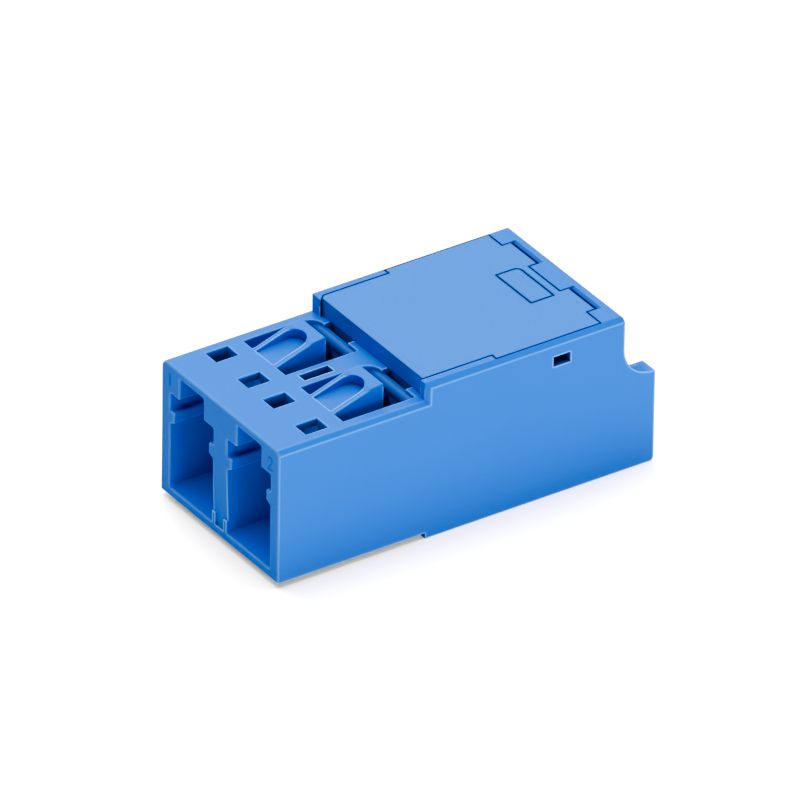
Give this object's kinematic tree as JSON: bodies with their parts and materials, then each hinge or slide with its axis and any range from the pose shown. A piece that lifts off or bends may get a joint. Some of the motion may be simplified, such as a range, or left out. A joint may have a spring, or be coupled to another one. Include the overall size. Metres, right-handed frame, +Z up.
{
  "type": "fibre optic adapter",
  "caption": "Duplex fibre optic adapter that snaps into a panel cut-out: paired plug ports front and rear, split alignment sleeves inside and a clip-on rear cover.",
  "frame": {"origin": "under the middle of the body, on the surface that the rear part's underside rests on", "axes": "+Y from the front ports to the rear ports, +Z up, X across the two channels"},
  "size_m": [0.0128, 0.0274, 0.0109],
  "materials": {
    "housing_plastic": "moulded blue plastic, satin gloss",
    "cover_plastic": "moulded blue plastic, satin gloss",
    "holder_plastic": "moulded blue plastic",
    "sleeve_ceramic": "ground white ceramic"
  },
  "bodies": {
    "root": {"housing": "housing_plastic", "rear_cover": "cover_plastic", "front_sleeve_holder": "holder_plastic", "rear_sleeve_holder": "holder_plastic", "alignment_sleeve_1": "sleeve_ceramic", "alignment_sleeve_2": "sleeve_ceramic"}
  },
  "joints": []
}
